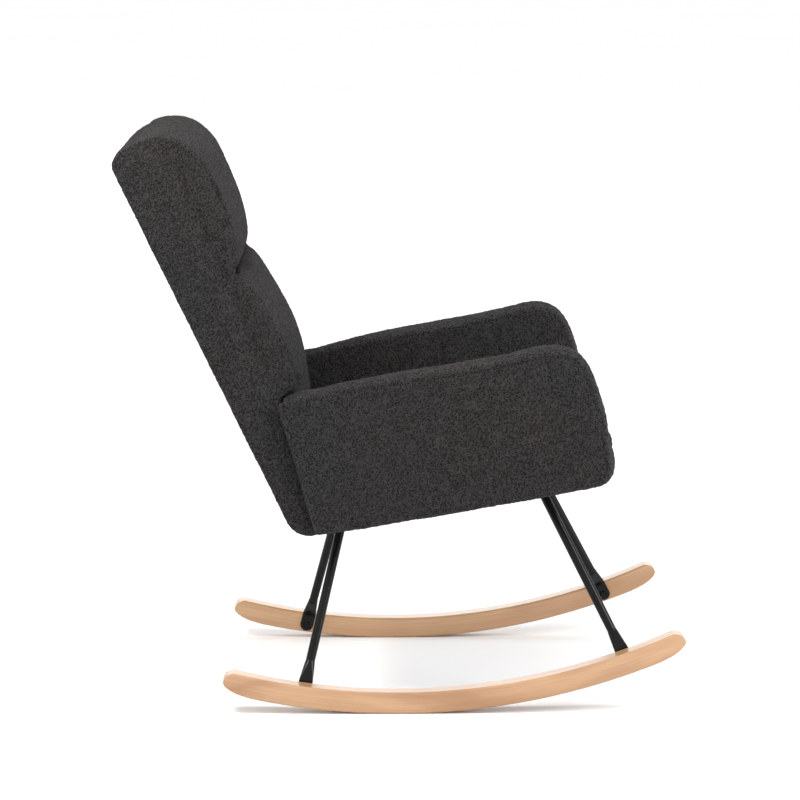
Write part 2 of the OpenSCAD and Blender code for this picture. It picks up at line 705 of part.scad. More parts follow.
arm_tee_nuts();
back_stile(1);  // back_stile_left
back_stile(-1);  // back_stile_right
back_cross_rail(frame_top - cross_rail);  // back_top_rail
back_cross_rail(head_seam - cross_rail / 2);  // back_middle_rail
back_bottom_rail();
back_webbing();
back_bolts();
back_inserts();
back_foam();
back_cushion();
head_foam();
head_cushion();
back_shell();
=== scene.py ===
"""The looks of an upholstered rocking chair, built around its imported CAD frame.

Metres throughout. +X is the sitter's left, the front faces -Y, Z is up and the floor is at Z = 0.
Soft pieces are drawn in three side planes: the back's (t forwards through it, s up it), the seat's
(u forwards along it, w out of it) and the chair's own (f forwards of the floor contact, z up).
"""
import json
import math

import bmesh
import bpy
import numpy as np
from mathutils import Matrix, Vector, noise


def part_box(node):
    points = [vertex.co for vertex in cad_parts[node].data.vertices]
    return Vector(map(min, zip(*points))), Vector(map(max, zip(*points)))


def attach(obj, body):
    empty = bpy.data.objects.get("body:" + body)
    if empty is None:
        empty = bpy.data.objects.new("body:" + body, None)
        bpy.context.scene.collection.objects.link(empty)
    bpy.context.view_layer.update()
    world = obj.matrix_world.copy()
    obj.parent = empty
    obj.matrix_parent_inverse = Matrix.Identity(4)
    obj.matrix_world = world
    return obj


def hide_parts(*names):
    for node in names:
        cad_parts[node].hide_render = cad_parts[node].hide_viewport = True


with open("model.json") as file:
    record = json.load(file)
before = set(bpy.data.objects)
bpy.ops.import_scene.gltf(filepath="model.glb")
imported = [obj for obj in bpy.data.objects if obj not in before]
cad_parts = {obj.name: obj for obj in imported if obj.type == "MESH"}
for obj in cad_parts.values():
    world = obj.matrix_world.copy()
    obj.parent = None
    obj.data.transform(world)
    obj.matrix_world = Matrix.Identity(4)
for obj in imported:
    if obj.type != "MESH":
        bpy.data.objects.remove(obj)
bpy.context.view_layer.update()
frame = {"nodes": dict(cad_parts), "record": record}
nodes = frame["nodes"]

# ---- Sizes that the upholstery shares with the frame ----
MM = 0.001
BACK_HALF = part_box("back_shell")[1].x
HEAD_SEAM = 448 * MM
ARM_INNER_REAR = 232 * MM
ARM_SPLAY = math.radians(4.2)
SOFT_GAP = 2.3 * MM
PILE = 2.0 * MM
ARM_SEAM = 14 * MM
COVER_STEP = 3.4 * MM
CUSHION_PRESSURE = 3.0
# Corners of an arm seen from the side, as f and z.
ARM_REAR_TOP = (-195, 532)
ARM_REAR_LOW = (-135.6, 302.1)
ARM_FRONT_LOW = (337, 392.6)


# ---- Side planes ----
def middle_of(node):
    low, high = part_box(node)
    return np.array((low + high) / 2)


def unit(v):
    return v / np.linalg.norm(v)


class Plane:
    """A side plane of the chair: a point (a, b) on it, carried out to x."""

    def __init__(self, forward, known, a, b):
        self.forward = forward
        self.up = np.array((0, forward[2], -forward[1]))
        self.origin = known - a * self.forward - b * self.up
        self.origin[0] = 0

    def place(self, a, b, x):
        a, b, x = np.broadcast_arrays(a, b, x)
        in_plane = a[..., None] * self.forward + b[..., None] * self.up
        return self.origin + in_plane + x[..., None] * np.array((1, 0, 0))

    def read(self, points):
        away = points - self.origin
        return away @ self.forward, away @ self.up, points[..., 0]


up_back = unit(middle_of("back_top_rail") - middle_of("back_middle_rail"))
through_back = np.array((0, -up_back[2], up_back[1]))
BACK = Plane(through_back, middle_of("back_middle_rail"), 32.5 * MM, HEAD_SEAM)
along_seat = unit(middle_of("seat_front_rail") - middle_of("seat_rear_rail"))
SEAT = Plane(along_seat, middle_of("seat_rear_rail"), -100 * MM, 15.5 * MM)
CHAIR = Plane(np.array((0.0, -1.0, 0.0)), BACK.origin.copy(), -177.7 * MM, BACK.origin[2])


def arm_inner(f):
    """Distance of the arms' inner faces from the chair's middle."""
    return ARM_INNER_REAR + (f + 151.7 * MM) * math.tan(ARM_SPLAY)


# ---- Curves ----
def bezier(*points, n=24):
    """A cubic curve without its last point, so that curves join end to end."""
    a, b, c, d = (np.array(p, float) * MM for p in points)
    t = np.arange(n)[:, None] / n
    return (1 - t) ** 3 * a + 3 * (1 - t) ** 2 * t * b + 3 * (1 - t) * t * t * c + t ** 3 * d


def line(a, b, n=12):
    return bezier(a, a, b, b, n=n)


def spaced(points, step, closed=True):
    """The same line with its points evenly spaced."""
    if closed:
        points = np.vstack([points, points[:1]])
    run = np.concatenate([[0], np.cumsum(np.linalg.norm(np.diff(points, axis=0), axis=1))])
    count = max(4, int(round(run[-1] / step)))
    at = np.linspace(0, run[-1], count + (0 if closed else 1), endpoint=not closed)
    return np.stack([np.interp(at, run, points[:, i]) for i in range(2)], axis=1)


def eased(x, low, high):
    t = np.clip((x - low) / (high - low), 0, 1)
    return t * t * (3 - 2 * t)


# ---- Boxed forms ----
def boxed(name, plane, outline, spine, half, step, edge, crown=None, bulge=0.0):
    """A closed form: an outline carried across the chair and rounded into two faces.

    half(a, b) gives the form's x at its two faces, edge the width and depth of the rounding
    between band and face, crown(a, b) how far the band swells, and bulge how far the faces do.
    The faces close in on the spine, a line through the outline's middle.
    """
    ring = spaced(outline, step)
    bones = spaced(np.array(spine, float) * MM, 2 * MM, closed=False)
    near = np.linalg.norm(ring[:, None] - bones[None], axis=2).argmin(1)
    inward = bones[near] - ring
    reach = np.linalg.norm(inward, axis=1)
    inward = inward / reach[:, None]
    low, high = half(ring[:, 0], ring[:, 1])
    wide = np.abs(high - low).max()
    edge_w, edge_h = min(edge[0], wide / 2), edge[1]
    corner = np.linspace(0, math.pi / 2, max(4, int(round(1.57 * (edge_w + edge_h) / 2 / step)) + 1))
    flat = max(1, int(round((wide - 2 * edge_w) / step)))
    share = edge_w / wide
    start = [(share * (1 - math.cos(a)), edge_h * (1 - math.sin(a))) for a in corner]
    middle = [(share + (1 - 2 * share) * i / flat, 0.0) for i in range(1, flat)]
    end = [(1 - v, d) for v, d in reversed(start)]
    if wide <= 2 * edge_w:
        end = end[1:]
    band = []
    swell = crown(ring[:, 0], ring[:, 1]) if crown else np.zeros(len(ring))
    for v, d in start + middle + end:
        across = (1 - (2 * v - 1) ** 2) * swell
        flatpos = ring + inward * (d - across)[:, None]
        lo, hi = half(flatpos[:, 0], flatpos[:, 1])
        band.append(plane.place(flatpos[:, 0], flatpos[:, 1], lo + (hi - lo) * v))
    count = max(3, int(round((reach.max() - edge_h) / step)))
    shares = np.minimum(np.linspace(0, 1, count + 1)[1:], 1 - 1.5 * MM / reach.max())

    def face(side):
        found = []
        for share in shares:
            flatpos = ring + inward * (edge_h + (reach - edge_h) * share)[:, None]
            lo, hi = half(flatpos[:, 0], flatpos[:, 1])
            out = bulge * (1 - (1 - share) ** 2)
            x = hi + out if side > 0 else lo - out
            found.append(plane.place(flatpos[:, 0], flatpos[:, 1], x))
        return found

    rows = list(reversed(face(-1))) + band + face(1)
    n = len(ring)
    vertices = np.concatenate(rows)
    faces = [
        (r * n + k, r * n + (k + 1) % n, (r + 1) * n + (k + 1) % n, (r + 1) * n + k)
        for r in range(len(rows) - 1) for k in range(n)
    ]
    faces.append(tuple(range(n - 1, -1, -1)))
    faces.append(tuple(range((len(rows) - 1) * n, len(rows) * n)))
    return mesh_object(name, vertices, faces)


def mesh_object(name, vertices, faces):
    mesh = bpy.data.meshes.new(name)
    mesh.from_pydata([tuple(v) for v in vertices], [], faces)
    made = bpy.data.objects.new(name, mesh)
    bpy.context.scene.collection.objects.link(made)
    work = bmesh.new()
    work.from_mesh(mesh)
    bmesh.ops.triangulate(work, faces=[f for f in work.faces if len(f.verts) > 4])
    bmesh.ops.recalc_face_normals(work, faces=work.faces)
    work.to_mesh(mesh)
    work.free()
    mesh.polygons.foreach_set("use_smooth", [True] * len(mesh.polygons))
    return made


# ---- Working on meshes ----
def points_of(piece):
    flat = np.zeros(len(piece.data.vertices) * 3, np.float32)
    piece.data.vertices.foreach_get("co", flat)
    return flat.reshape(-1, 3).astype(float)


def normals_of(piece):
    flat = np.zeros(len(piece.data.vertices) * 3, np.float32)
    piece.data.vertex_normals.foreach_get("vector", flat)
    return flat.reshape(-1, 3).astype(float)


def set_points(piece, points):
    piece.data.vertices.foreach_set("co", points.astype(np.float32).ravel())
    piece.data.update()


def apply_modifiers(piece):
    bpy.context.view_layer.update()
    done = bpy.data.meshes.new_from_object(piece.evaluated_get(bpy.context.evaluated_depsgraph_get()))
    piece.modifiers.clear()
    piece.data = done
    piece.data.polygons.foreach_set("use_smooth", [True] * len(done.polygons))


def remesh(piece, voxel):
    step = piece.modifiers.new("voxels", "REMESH")
    step.mode = "VOXEL"
    step.voxel_size = voxel
    apply_modifiers(piece)


def subdivide(piece):
    step = piece.modifiers.new("finer", "SUBSURF")
    step.levels = step.render_levels = 1
    apply_modifiers(piece)


def smooth(piece, times, factor=0.5):
    step = piece.modifiers.new("smooth", "SMOOTH")
    step.iterations = times
    step.factor = factor
    apply_modifiers(piece)


def puff(piece, pressure, cap, frames=20):
    """Swells a closed form as padded cloth does, each point by no more than cap."""
    rest = points_of(piece)
    cloth = piece.modifiers.new("swell", "CLOTH")
    cloth.settings.quality = 5
    cloth.settings.mass = 0.3
    cloth.settings.tension_stiffness = cloth.settings.compression_stiffness = 15
    cloth.settings.shear_stiffness = 8
    cloth.settings.bending_stiffness = 2
    cloth.settings.use_pressure = True
    cloth.settings.uniform_pressure_force = pressure
    cloth.settings.effector_weights.gravity = 0
    cloth.collision_settings.use_collision = False
    cloth.point_cache.frame_start, cloth.point_cache.frame_end = 1, frames
    scene = bpy.context.scene
    for step in range(1, frames + 1):
        scene.frame_set(step)
    moved = points_of(piece.evaluated_get(bpy.context.evaluated_depsgraph_get()))
    piece.modifiers.clear()
    scene.frame_set(1)
    move = moved - rest
    far = np.linalg.norm(move, axis=1)
    set_points(piece, rest + move * np.minimum(1, cap / np.maximum(far, 1e-9))[:, None])


def lumps(points, size, seed):
    """Rounded curls of pile, from 0 between them to 1 on their tops."""
    shift = Vector((seed * 7.1, seed * 3.3, seed * 5.7))
    return np.array([1 - noise.voronoi(Vector(p) / size + shift)[0][0] for p in points])


def waves(points, size, seed):
    """Slow undulation of soft cloth, from -1 to 1."""
    shift = Vector((seed * 2.9, seed * 8.3, seed * 4.1))
    return np.array([noise.noise(Vector(p) / size + shift) for p in points])


def nearest(points, curve):
    """Distance of each point of a plane from a line through the given points, and how far along it."""
    a, b = curve[:-1], curve[1:]
    best, where = np.full(len(points), 9.0), np.zeros(len(points))
    run = 0.0
    for p, q in zip(a, b):
        d = q - p
        length = np.linalg.norm(d)
        t = np.clip((points - p) @ d / (length * length), 0, 1)
        gap = np.linalg.norm(points - (p + t[:, None] * d), axis=1)
        closer = gap < best
        best[closer], where[closer] = gap[closer], run + t[closer] * length
        run += length
    return best, where


def groove(gap, depth, width):
    """A sewn seam: the cloth pulled in along a line, with a soft roll at either side."""
    roll = 0.3 * depth * np.exp(-((gap - 3 * width) / (1.5 * width)) ** 2)
    return roll - depth * np.exp(-(gap / width) ** 2)


def fleece(piece, seed, amount=PILE):
    """Gives a piece the lumpy outline of its pile, and the slight unevenness of hand-pulled cloth."""
    points, out = points_of(piece), normals_of(piece)
    height = amount * (lumps(points, 7.5 * MM, seed) - 0.6) + 1.1 * MM * waves(points, 70 * MM, seed)
    set_points(piece, points + out * height[:, None])


# ---- Materials ----
class Nodes:
    """A material's node tree, with its Principled shader."""

    def __init__(self, name, roughness, **sockets):
        self.material = bpy.data.materials.new(name)
        self.material.use_nodes = True
        self.tree = self.material.node_tree
        self.shader = self.tree.nodes["Principled BSDF"]
        self.shader.inputs["Roughness"].default_value = roughness
        for label, value in sockets.items():
            self.shader.inputs[label.replace("_", " ")].default_value = value
        self.where = self.add("ShaderNodeTexCoord").outputs["Object"]

    def add(self, kind, inputs=(), **settings):
        node = self.tree.nodes.new(kind)
        for key, value in settings.items():
            setattr(node, key, value)
        for key, value in dict(inputs).items():
            socket = node.inputs[key]
            if isinstance(value, bpy.types.NodeSocket):
                self.tree.links.new(value, socket)
            else:
                socket.default_value = value
        return node

    def noise(self, scale, detail=2.0, distortion=0.0, vector=None):
        made = self.add("ShaderNodeTexNoise", {
            "Vector": vector or self.where, "Scale": scale, "Detail": detail, "Distortion": distortion,
        })
        return made.outputs["Fac"]

    def math(self, operation, a, b=0.0):
        return self.add("ShaderNodeMath", {0: a, 1: b}, operation=operation).outputs[0]

    def mix(self, share, a, b):
        made = self.add("ShaderNodeMix", {"Factor": share}, data_type="RGBA")
        for label, value in (("A", a), ("B", b)):
            socket = [i for i in made.inputs if i.name == label and i.type == "RGBA"][0]
            if isinstance(value, bpy.types.NodeSocket):
                self.tree.links.new(value, socket)
            else:
                socket.default_value = (*value, 1)
        return [o for o in made.outputs if o.type == "RGBA"][0]

    def along(self, run, rise, across, slow, fast):
        """A place scaled by slow along the grain and by fast across it."""
        parts = {0: self.math("MULTIPLY", run, slow), 1: self.math("MULTIPLY", rise, fast)}
        parts[2] = self.math("MULTIPLY", across, fast)
        return self.add("ShaderNodeCombineXYZ", parts).outputs[0]

    def ramp(self, value, low, high):
        """value spread from 0 at low to 1 at high."""
        made = self.add("ShaderNodeMapRange", {"Value": value, "From Min": low, "From Max": high})
        return made.outputs[0]

    def colour(self, value):
        self.tree.links.new(value, self.shader.inputs["Base Color"])

    def roughness(self, value):
        self.tree.links.new(value, self.shader.inputs["Roughness"])

    def bump(self, height, distance, strength=1.0):
        sizes = {"Height": height, "Distance": distance, "Strength": strength}
        made = self.add("ShaderNodeBump", sizes)
        self.tree.links.new(made.outputs["Normal"], self.shader.inputs["Normal"])


def teddy(name, dark, light):
    """Curly charcoal fleece: short worm-like curls with shadow between them."""
    m = Nodes(name, 0.95, Sheen_Weight=0.1, Sheen_Roughness=0.35, Specular_IOR_Level=0.1)
    wander = m.noise(235, 2, 0.3)
    curl = m.ramp(m.math("ABSOLUTE", m.math("SUBTRACT", wander, 0.5)), 0.11, 0.0)
    fuzz = m.noise(420, 2)
    tuft = m.noise(50, 2, 0.3)
    worn = m.noise(5, 3)
    height = m.math("ADD", m.math("MULTIPLY", curl, 0.75), m.math("MULTIPLY", fuzz, 0.5))
    lit = m.math("MULTIPLY", height, m.ramp(tuft, -1.6, 1.0))
    shade = m.ramp(lit, 0.15, 0.85)
    base = m.mix(shade, dark, light)
    warm = m.mix(m.ramp(worn, 0.35, 0.65), (0.95, 0.98, 1.0), (1.05, 1.0, 0.96))
    tinted = m.add("ShaderNodeMix", {"Factor": 1.0}, data_type="RGBA", blend_type="MULTIPLY")
    colours = [i for i in tinted.inputs if i.type == "RGBA"]
    m.tree.links.new(base, colours[0])
    m.tree.links.new(warm, colours[1])
    m.colour([o for o in tinted.outputs if o.type == "RGBA"][0])
    m.tree.links.new(m.mix(shade, (0.12, 0.12, 0.12), (0.8, 0.78, 0.76)), m.shader.inputs["Sheen Tint"])
    m.bump(height, 2.6 * MM, 1.0)
    return m.material


def wood(name, pale, mid, dark, centre=None, bands=150):
    """Planed wood. Around a bent rocker the grain follows the bend, from its arc's centre."""
    m = Nodes(name, 0.36, Coat_Weight=0.5, Coat_Roughness=0.2)
    place = m.add("ShaderNodeSeparateXYZ", {0: m.where})
    if centre is None:
        run, rise, across = place.outputs[1], place.outputs[2], place.outputs[0]
    else:
        away = m.add("ShaderNodeVectorMath", {0: m.where, 1: centre}, operation="SUBTRACT").outputs[0]
        away = m.add("ShaderNodeSeparateXYZ", {0: away})
        back, down = away.outputs[1], m.math("MULTIPLY", away.outputs[2], -1.0)
        run = m.math("ARCTAN2", back, down)
        squares = m.math("MULTIPLY", back, back), m.math("MULTIPLY", down, down)
        rise = m.math("SQRT", m.math("ADD", *squares))
        across = away.outputs[0]
    slow = m.along(run, rise, across, 0.35, 1.0)
    figure = m.noise(16, 2, 0.5, slow)
    rings = m.math("ADD", m.math("MULTIPLY", rise, bands), m.math("MULTIPLY", figure, 10.0))
    grain = m.math("MULTIPLY", m.math("ADD", m.math("SINE", rings), 1.0), 0.5)
    streak = m.noise(1.0, 3, 0.3, m.along(run, rise, across, 9.0, 520.0))
    patch = m.noise(7, 3, 1.2, slow)
    base = m.mix(m.ramp(grain, 0.0, 1.0), mid, pale)
    base = m.mix(m.math("MULTIPLY", m.ramp(patch, 0.48, 0.66), 0.6), base, dark)
    base = m.mix(m.math("MULTIPLY", m.ramp(streak, 0.45, 0.75), 0.4), base, dark)
    m.colour(base)
    m.roughness(m.ramp(streak, -0.9, 2.2))
    m.bump(streak, 0.1 * MM, 0.4)
    return m.material


def lacquer(name, colour, roughness):
    """Powder-coated steel with a faint orange-peel skin."""
    m = Nodes(name, roughness, Specular_IOR_Level=0.16)
    peel = m.noise(900, 2)
    m.colour(m.mix(m.ramp(m.noise(30, 3), 0.3, 0.7), colour, tuple(1.5 * c for c in colour)))
    m.bump(peel, 0.04 * MM, 0.5)
    return m.material


def metal(name, colour, roughness):
    m = Nodes(name, roughness, Metallic=1.0)
    dull = m.noise(140, 4)
    m.colour(m.mix(dull, colour, tuple(0.75 * c for c in colour)))
    m.roughness(m.ramp(dull, -0.2, 2.4))
    m.bump(m.noise(700, 2), 0.03 * MM, 0.4)
    return m.material


def woven(name, dark, light, pitch):
    """Plain weave: crossed rows of thread."""
    m = Nodes(name, 0.85, Sheen_Weight=0.2)
    place = m.add("ShaderNodeSeparateXYZ", {0: m.where})
    warp = m.math("SINE", m.math("MULTIPLY", place.outputs[0], math.tau / pitch))
    length = m.math("ADD", place.outputs[1], place.outputs[2])
    weft = m.math("SINE", m.math("MULTIPLY", length, math.tau / pitch))
    thread = m.math("MULTIPLY", m.math("ADD", m.math("MULTIPLY", warp, weft), 1.0), 0.5)
    m.colour(m.mix(m.math("MULTIPLY", thread, m.ramp(m.noise(40, 3), 0.2, 0.8)), dark, light))
    m.bump(thread, 0.3 * MM, 0.6)
    return m.material


PLY = math.tau / 2200.0


def plywood(name):
    """Thin layers whose edges alternate."""
    m = Nodes(name, 0.6)
    place = m.add("ShaderNodeSeparateXYZ", {0: m.where})
    layers = m.math("SINE", m.math("MULTIPLY", place.outputs[0], math.tau / PLY))
    figure = m.noise(12, 5, 1.5)
    share = m.ramp(m.math("ADD", layers, figure), 0.2, 1.4)
    m.colour(m.mix(share, (0.5, 0.34, 0.18), (0.68, 0.52, 0.32)))
    m.bump(figure, 0.2 * MM, 0.4)
    return m.material


def foam_skin(name):
    """Open-cell foam."""
    m = Nodes(name, 0.9)
    cells = m.add("ShaderNodeTexVoronoi", {"Vector": m.where, "Scale": 700.0}).outputs["Distance"]
    m.colour(m.mix(m.ramp(cells, 0.1, 0.7), (0.75, 0.66, 0.4), (0.9, 0.83, 0.6)))
    m.bump(cells, 0.5 * MM, 0.6)
    return m.material


# The rockers roll about a level axis at this point.
arc_centre = (0.0, float(CHAIR.origin[1]), 1.184)
MATERIALS = {
    "upholstery": teddy("upholstery", (0.008, 0.008, 0.0085), (0.052, 0.050, 0.050)),
    "rocker_wood": wood("rocker_wood", (0.48, 0.29, 0.155), (0.41, 0.235, 0.12), (0.27, 0.125, 0.05),
                        arc_centre, bands=90),
    "black_steel": lacquer("black_steel", (0.004, 0.004, 0.0045), 0.2),
    "zinc_steel": metal("zinc_steel", (0.75, 0.76, 0.78), 0.35),
    "frame_wood": wood("frame_wood", (0.76, 0.60, 0.38), (0.66, 0.48, 0.28), (0.45, 0.28, 0.14),
                       bands=500),
    "plywood": plywood("plywood"),
    "webbing": woven("webbing", (0.02, 0.02, 0.022), (0.10, 0.10, 0.105), 2.4 * MM),
    "foam": foam_skin("foam"),
    "dust_cloth": woven("dust_cloth", (0.008, 0.008, 0.009), (0.035, 0.035, 0.037), 1.6 * MM),
}


def finish_cad_nodes():
    """Every CAD node takes the procedural material of its slot."""
    for part in frame["record"]["subparts"]:
        piece = nodes[part["node"]]
        made = MATERIALS[part["material_slot"]]
        if not piece.material_slots:
            piece.data.materials.append(made)
        for place in piece.material_slots:
            place.link = "OBJECT"
            place.material = made


def dress(piece, *stands_for, slot="upholstery", fill=None):
    """The last steps of a soft piece: its material, its body and the CAD nodes that it stands for."""
    piece.data.materials.clear()
    piece.data.materials.append(MATERIALS[slot])
    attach(piece, "root")
    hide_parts(*stands_for)
    return piece


# ---- Camera ----
def camera():
    """Looks at the sitter's right side from a little above."""
    data = bpy.data.cameras.new("camera")
    eye = bpy.data.objects.new("camera", data)
    bpy.context.scene.collection.objects.link(eye)
    eye.location = (-6.009, 0.0828, 1.401)
    forward = Vector((0.98871, -0.01401, -0.14919))
    eye.rotation_euler = forward.to_track_quat("-Z", "Y").to_euler()
    data.lens = 153.9
    data.clip_end = 200
    bpy.context.scene.camera = eye


# ---- Arms ----
def arm_outline():
    return np.vstack([
        bezier(ARM_REAR_TOP, (-64, 587), (90, 590), (242, 631), n=60),
        bezier((242, 631), (312, 641), (326, 606), (350, 522), n=40),
        bezier((350, 522), (356, 495), (360, 465), (364, 436), n=20),
        bezier((364, 436), (367, 412), (360, 397), ARM_FRONT_LOW, n=16),
        line(ARM_FRONT_LOW, ARM_REAR_LOW, n=60),
        line(ARM_REAR_LOW, ARM_REAR_TOP, n=30),
    ])


def arm_thickness(run):
    """An arm is slimmer at its ends than between them; run is the distance from its rear end."""
    t = np.linspace(0, 1, 60)
    curve = np.array([(-20, 60), (110, 90), (330, 105), (525, 75)]) * MM
    weights = np.stack([(1 - t) ** 3, 3 * (1 - t) ** 2 * t, 3 * (1 - t) * t * t, t ** 3], axis=1)
    at, thick = (weights @ curve).T
    return np.interp(run, at, thick)


def arm(name, side, seed):
    outline = arm_outline()

    def faces(f, z):
        inner = arm_inner(f)
        outer = inner + arm_thickness((f + 151.7 * MM) / math.cos(ARM_SPLAY)) / math.cos(ARM_SPLAY)
        return side * inner, side * outer

    piece = boxed(name, CHAIR, outline, [(-80, 425), (120, 462), (262, 492)], faces, 4.4 * MM,
                  (44 * MM, 12 * MM))
    remesh(piece, 4.6 * MM)
    smooth(piece, 2)
    subdivide(piece)
    points, out = points_of(piece), normals_of(piece)
    f, z, x = CHAIR.read(points)
    flat = np.stack([f, z], axis=1)
    ring = spaced(outline, 6 * MM)
    gap, along = nearest(flat, np.vstack([ring, ring[:1]]))
    inner, outer = faces(f, z)
    on_outer = np.abs(x - outer) < np.abs(x - inner)
    sewn = eased(f, -0.18, -0.15) * eased(z, 0.40, 0.43)
    seam = groove(np.abs(gap - ARM_SEAM), 1.8 * MM, 2.4 * MM) * sewn * np.where(on_outer, 1, 0.4)
    swell = 2.5 * MM * eased(gap, 15 * MM, 80 * MM)
    pucker = waves(np.stack([along, gap * 0.3, x], axis=1), 16 * MM, seed)
    pucker *= 0.8 * MM * np.exp(-((gap - ARM_SEAM) / (18 * MM)) ** 2)
    panel_seam = np.where(on_outer, 0, groove(np.abs(f - 87 * MM), 1.6 * MM, 2.4 * MM))
    panel_seam *= eased(gap, 12 * MM, 18 * MM)
    faced = np.abs(out[:, 0]) ** 2
    height = seam + pucker + (swell + panel_seam) * faced
    points = points + out * height[:, None]
    # Outside the back's side panel the arm's cover laps over it.
    over = nearest(flat, np.array([ARM_REAR_TOP, ARM_REAR_LOW]) * MM)[0]
    lap = np.interp(z, [0.30, 0.53], [5 * MM, 15 * MM]) * (1 - eased(over, 4 * MM, 60 * MM))
    points[:, 1] += lap * eased(np.abs(x), 272 * MM, 286 * MM)
    # Under the back's side panel its top stands up to close the gap.
    beneath = (1 - eased(f, -0.17, -0.13)) * (1 - eased(np.abs(x), 256 * MM, 280 * MM))
    points[:, 2] += 6 * MM * beneath * eased(z, 0.51, 0.53)
    # Its inner edge stays square below and in front, against the seat.
    inboard = 1 - eased(np.abs(x - inner), 6 * MM, 40 * MM)
    underside = np.interp(f, [-135.6 * MM, 337 * MM], [302 * MM, 392.6 * MM])
    points[:, 2] -= 7 * MM * inboard * (1 - eased(z - underside, 0, 25 * MM))
    points[:, 1] -= 9 * MM * inboard * eased(f, 0.315, 0.35) * (1 - eased(z, 0.44, 0.49))
    set_points(piece, points)
    fleece(piece, seed)
    which = "left" if side > 0 else "right"
    return dress(piece, "arm_cover_" + which, "arm_foam_" + which, fill=0.85)


# ---- Back ----
# The side panels' sewn rims are this thick, and the cushions between them are rounded by this edge.
RIM = 4.5 * MM
BACK_EDGE = (30 * MM, 7 * MM)


def front_line():
    """The sewn front edge of the back, from the top down past both cushions."""
    return np.vstack([
        bezier((36, 718), (52, 719), (66, 719), (78, 717), n=16),
        bezier((78, 717), (116, 709), (141, 680), (141, 620), n=40),
        bezier((141, 620), (141, 560), (138, 495), (111, 448), n=50),
        bezier((111, 448), (121, 420), (125, 360), (126.5, 300), n=44),
        bezier((126.5, 300), (126.5, 268), (121, 248), (117, 229), n=24),
    ])


def shell_outline():
    return np.vstack([
        front_line(),
        line((117, 229), (84, 222), n=10),
        line((84, 222), (38, -16), n=60),
        bezier((38, -16), (22, -15), (2, -4), (0, 26), n=16),
        line((0, 26), (0, 690), n=160),
        bezier((0, 690), (0, 706), (14, 717), (36, 718), n=16),
    ])


def back_cover():
    """The rear shell with its side panels, whose front edges stand as a rim around the cushions."""
    piece = boxed("back_cover", BACK, shell_outline(), [(20, 30), (42, 200), (58, 350), (70, 640)],
                  lambda t, s: (-BACK_HALF + 0 * t, BACK_HALF + 0 * t), COVER_STEP, (5 * MM, 5 * MM),
                  crown=lambda t, s: 3 * MM * eased(-t, -0.02, 0), bulge=3 * MM)
    points, out = points_of(piece), normals_of(piece)
    t, s, x = BACK.read(points)
    flat = np.stack([t, s], axis=1)
    side = np.abs(x) > BACK_HALF - 6 * MM
    # A soft valley runs up the side panel, behind the roll along its front edge.
    up_panel = np.array([200, 300, 390, 490, 590, 690]) * MM
    valley_t = np.interp(s, up_panel, np.array([79, 86, 90, 93.5, 96.5, 97]) * MM)
    fade = eased(s, 0.2, 0.3) * (1 - eased(s, 0.64, 0.71))
    valley = 10 * MM * np.exp(-((t - valley_t) / (17 * MM)) ** 2) * fade
    bulges = 4.0 * MM * np.exp(-((t - valley_t + 45 * MM) / (26 * MM)) ** 2)
    points[:, 0] += np.sign(x) * side * (bulges - valley)
    gap, along = nearest(flat, front_line())
    inboard = eased(BACK_HALF - np.abs(x), 5 * MM, 11 * MM)
    facing = np.exp(-(gap / (6 * MM)) ** 2)
    sunk = 9 * MM * inboard * facing * eased(s, 0.235, 0.25) * eased(t, 0.04, 0.055)
    points = points - out * sunk[:, None]
    edge = groove(np.abs(BACK_HALF - np.abs(x) - 7 * MM), 1.2 * MM, 2 * MM)
    rear = t < 6 * MM
    points = points + out * (edge * rear)[:, None]
    set_points(piece, points)
    fleece(piece, 11)
    return dress(piece, "back_shell")


def cushion_mesh(name, plane, outline, spine, half, edge, crown, voxel, cap):
    """A filled cushion: its boxed form, swollen by cloth pressure by up to cap."""
    piece = boxed(name, plane, outline, spine, half, 4 * MM, edge, crown=crown)
    remesh(piece, voxel)
    smooth(piece, 3)
    puff(piece, CUSHION_PRESSURE, cap)
    smooth(piece, 2)
    subdivide(piece)
    return piece


def head_pad():
    """The head cushion: crowned between its seams, and pulled in at the seam under it."""
    outline = np.vstack([
        bezier((38, 715), (52, 717), (66, 717), (78, 715), n=16),
        bezier((78, 715), (115, 707), (139, 680), (139, 620), n=40),
        bezier((139, 620), (139, 560), (136, 497), (108, 449.5), n=50),
        line((108, 449.5), (84, 452), n=8),
        line((84, 452), (88, 640), n=30),
        bezier((88, 640), (86, 670), (70, 690), (40, 700), n=16),
    ])
    half = BACK_HALF - RIM
    piece = cushion_mesh("head_pad", BACK, outline, [(97, 475), (108, 560), (104, 640), (70, 698)],
                         lambda t, s: (-half + 0 * t, half + 0 * t), BACK_EDGE,
                         lambda t, s: 9 * MM * eased(t, 0.08, 0.12) + 6 * MM * eased(s, 0.70, 0.715),
                         5 * MM, 7 * MM)
    pull_at_seam(piece, 21)
    fleece(piece, 21)
    return dress(piece, "head_cushion", "head_foam", fill=0.8)


def pull_at_seam(piece, seed):
    """Small folds run out of the seam between the two back cushions."""
    points, out = points_of(piece), normals_of(piece)
    t, s, x = BACK.read(points)
    away = np.abs(s - HEAD_SEAM)
    folds = waves(np.stack([x, 0.25 * away, 0 * x], axis=1), 20 * MM, seed)
    height = 1.6 * MM * folds * np.exp(-(away / (28 * MM)) ** 2) * eased(t, 0.09, 0.1)
    set_points(piece, points + out * height[:, None])


